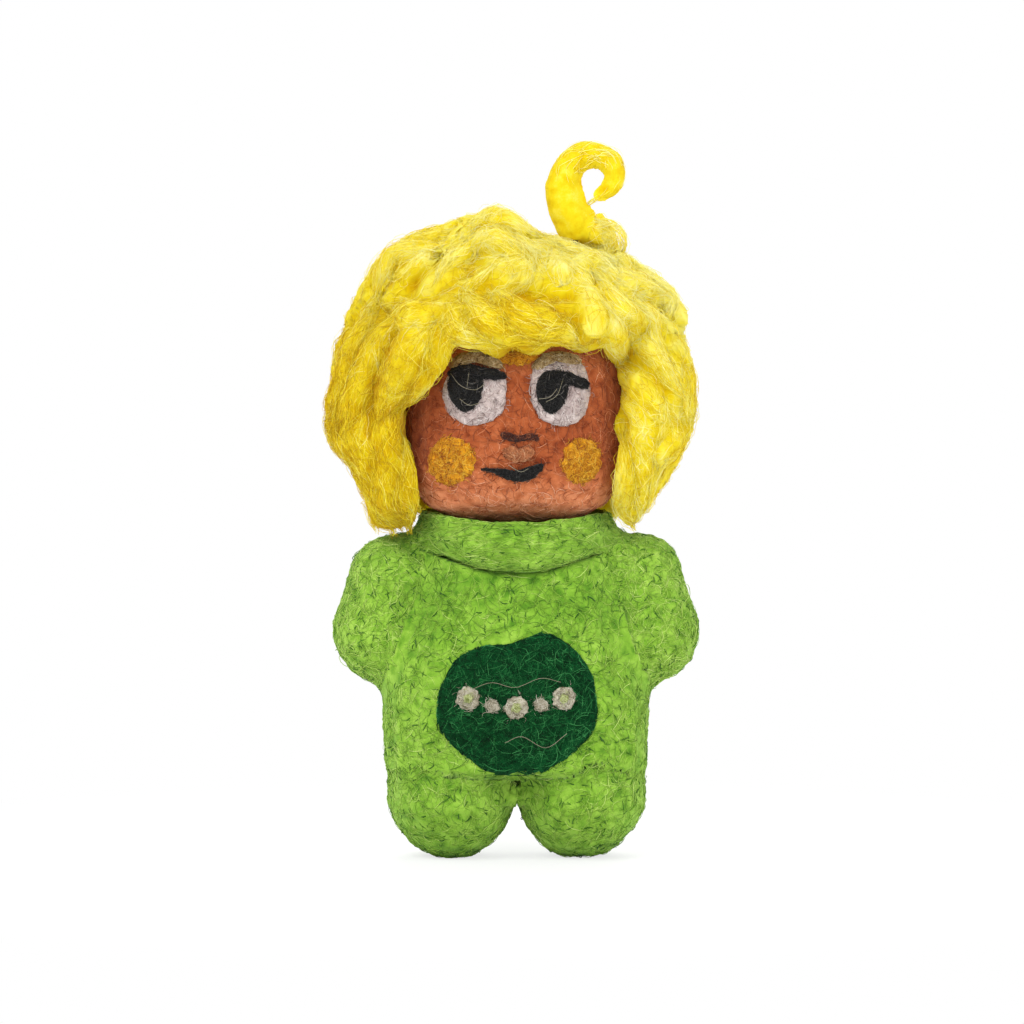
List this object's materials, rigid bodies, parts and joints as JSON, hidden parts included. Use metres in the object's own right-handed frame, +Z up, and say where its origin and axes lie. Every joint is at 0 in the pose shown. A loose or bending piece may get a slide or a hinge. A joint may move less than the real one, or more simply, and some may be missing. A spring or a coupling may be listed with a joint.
{
  "type": "felted wool doll",
  "caption": "Small standing needle-felted wool doll with stub arms and legs, a mop of locks and a curl, bendable at neck, shoulders, hips and curl on a hidden wire armature.",
  "frame": {"origin": "on the floor, between the two soles and under the middle of the doll", "axes": "+Z up, -Y out of the face, +X towards the doll's own left hand"},
  "size_m": [0.0527, 0.0383, 0.1001],
  "materials": {
    "lime_wool": "needle-felted wool",
    "dark_green_wool": "needle-felted wool",
    "cream_wool": "needle-felted wool",
    "pale_green_wool": "needle-felted wool",
    "skin_wool": "needle-felted wool",
    "cheek_wool": "needle-felted wool",
    "black_wool": "needle-felted wool",
    "brown_wool": "needle-felted wool",
    "white_wool": "needle-felted wool",
    "tan_wool": "needle-felted wool",
    "lip_wool": "needle-felted wool",
    "yellow_wool": "loose wool locks",
    "core_wool": "felted core wool",
    "steel_wire": "annealed craft wire"
  },
  "bodies": {
    "torso": {"body_skin": "lime_wool", "body_core": "core_wool", "collar": "lime_wool", "belly_patch": "dark_green_wool", "patch_dot_1": "cream_wool", "patch_dot_1_centre": "pale_green_wool", "patch_dot_2": "cream_wool", "patch_dot_3": "cream_wool", "patch_dot_3_centre": "pale_green_wool", "patch_dot_4": "cream_wool", "patch_dot_5": "cream_wool", "patch_dot_5_centre": "pale_green_wool", "right_spine_strand": "steel_wire", "left_spine_strand": "steel_wire", "arm_wire": "steel_wire"},
    "neck": {"neck_wire": "steel_wire"},
    "neck_bend": {"neck_wrap": "core_wool"},
    "head": {"head_skin": "skin_wool", "head_core": "core_wool", "head_wire": "steel_wire", "right_eye_white": "white_wool", "left_eye_white": "white_wool", "right_pupil": "black_wool", "left_pupil": "black_wool", "right_lash": "black_wool", "left_lash": "black_wool", "right_eyelid": "tan_wool", "left_eyelid": "tan_wool", "brow_dab": "cheek_wool", "nose_line": "brown_wool", "upper_lip": "lip_wool", "mouth": "black_wool", "right_cheek": "cheek_wool", "left_cheek": "cheek_wool", "hair_cap": "yellow_wool", "hair_fringe": "yellow_wool", "right_side_lock": "yellow_wool", "left_side_lock": "yellow_wool", "curl_root_lock": "yellow_wool"},
    "curl_bend": {"curl_root_wire": "steel_wire"},
    "curl": {"curl": "yellow_wool", "curl_wire": "steel_wire"},
    "right_shoulder": {"right_shoulder_wire": "steel_wire"},
    "right_arm": {"right_arm": "lime_wool", "right_arm_wire": "steel_wire"},
    "left_shoulder": {"left_shoulder_wire": "steel_wire"},
    "left_arm": {"left_arm": "lime_wool", "left_arm_wire": "steel_wire"},
    "right_hip": {"right_hip_wire": "steel_wire"},
    "right_leg": {"right_leg": "lime_wool", "right_leg_wire": "steel_wire"},
    "left_hip": {"left_hip_wire": "steel_wire"},
    "left_leg": {"left_leg": "lime_wool", "left_leg_wire": "steel_wire"}
  },
  "joints": [
    {"name": "neck_turn", "type": "hinge", "parent": "torso", "child": "neck", "pos_m": [0, 0, 0.0454], "axis": [0, 0, 1], "range_deg": [-35, 35]},
    {"name": "neck_nod", "type": "hinge", "parent": "neck", "child": "neck_bend", "pos_m": [0, 0, 0.0454], "axis": [1, 0, 0], "range_deg": [-8, 8]},
    {"name": "neck_tilt", "type": "hinge", "parent": "neck_bend", "child": "head", "pos_m": [0, 0, 0.0454], "axis": [0, 1, 0], "range_deg": [-6, 6]},
    {"name": "curl_lean", "type": "hinge", "parent": "head", "child": "curl_bend", "pos_m": [0.0083, -0.001, 0.0884], "axis": [0, 1, 0], "range_deg": [-15, 15]},
    {"name": "curl_nod", "type": "hinge", "parent": "curl_bend", "child": "curl", "pos_m": [0.0083, -0.001, 0.0884], "axis": [1, 0, 0], "range_deg": [-20, 20]},
    {"name": "right_shoulder_swing", "type": "hinge", "parent": "torso", "child": "right_shoulder", "pos_m": [-0.017, 0, 0.0389], "axis": [-0.9655, 0, 0.2603], "range_deg": [-40, 90]},
    {"name": "right_arm_raise", "type": "hinge", "parent": "right_shoulder", "child": "right_arm", "pos_m": [-0.017, 0, 0.0389], "axis": [0, 1, 0], "range_deg": [0, 75]},
    {"name": "left_shoulder_swing", "type": "hinge", "parent": "torso", "child": "left_shoulder", "pos_m": [0.017, 0, 0.0389], "axis": [-0.9655, 0, -0.2603], "range_deg": [-40, 90]},
    {"name": "left_arm_raise", "type": "hinge", "parent": "left_shoulder", "child": "left_arm", "pos_m": [0.017, 0, 0.0389], "axis": [0, -1, 0], "range_deg": [0, 75]},
    {"name": "right_hip_spread", "type": "hinge", "parent": "torso", "child": "right_hip", "pos_m": [-0.0089, 0, 0.0135], "axis": [0, 1, 0], "range_deg": [0, 8]},
    {"name": "right_hip_swing", "type": "hinge", "parent": "right_hip", "child": "right_leg", "pos_m": [-0.0089, 0, 0.0135], "axis": [-1, 0, 0], "range_deg": [-20, 20]},
    {"name": "left_hip_spread", "type": "hinge", "parent": "torso", "child": "left_hip", "pos_m": [0.0089, 0, 0.0135], "axis": [0, -1, 0], "range_deg": [0, 8]},
    {"name": "left_hip_swing", "type": "hinge", "parent": "left_hip", "child": "left_leg", "pos_m": [0.0089, 0, 0.0135], "axis": [-1, 0, 0], "range_deg": [-20, 20]}
  ]
}
